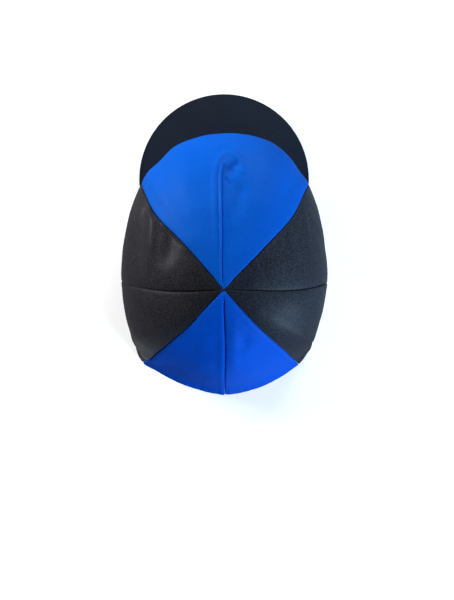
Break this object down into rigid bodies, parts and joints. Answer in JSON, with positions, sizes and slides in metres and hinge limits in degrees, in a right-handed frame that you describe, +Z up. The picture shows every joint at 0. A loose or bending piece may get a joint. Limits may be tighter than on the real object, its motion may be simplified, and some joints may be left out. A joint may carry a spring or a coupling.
{
  "type": "racing cap",
  "caption": "Quartered cloth racing cap with a domed crown of sewn gores and a stiff crescent peak.",
  "frame": {"origin": "centre of the cap's box in plan, on the plane that its rim rests on", "axes": "+Z up, the peak points along -Y, +X is the wearer's left"},
  "size_m": [0.205, 0.3227, 0.1382],
  "materials": {
    "blue_cloth": "smooth stretch cloth, royal blue, soft sheen",
    "black_cloth": "smooth stretch cloth, black, soft sheen",
    "peak_cloth": "matte cloth over a stiff board, blue-black"
  },
  "bodies": {
    "root": {"front_panel": "blue_cloth", "side_front_panel_left": "black_cloth", "side_back_panel_left": "black_cloth", "back_panel_left": "blue_cloth", "back_panel_right": "blue_cloth", "side_back_panel_right": "black_cloth", "side_front_panel_right": "black_cloth", "peak": "peak_cloth"}
  },
  "joints": []
}
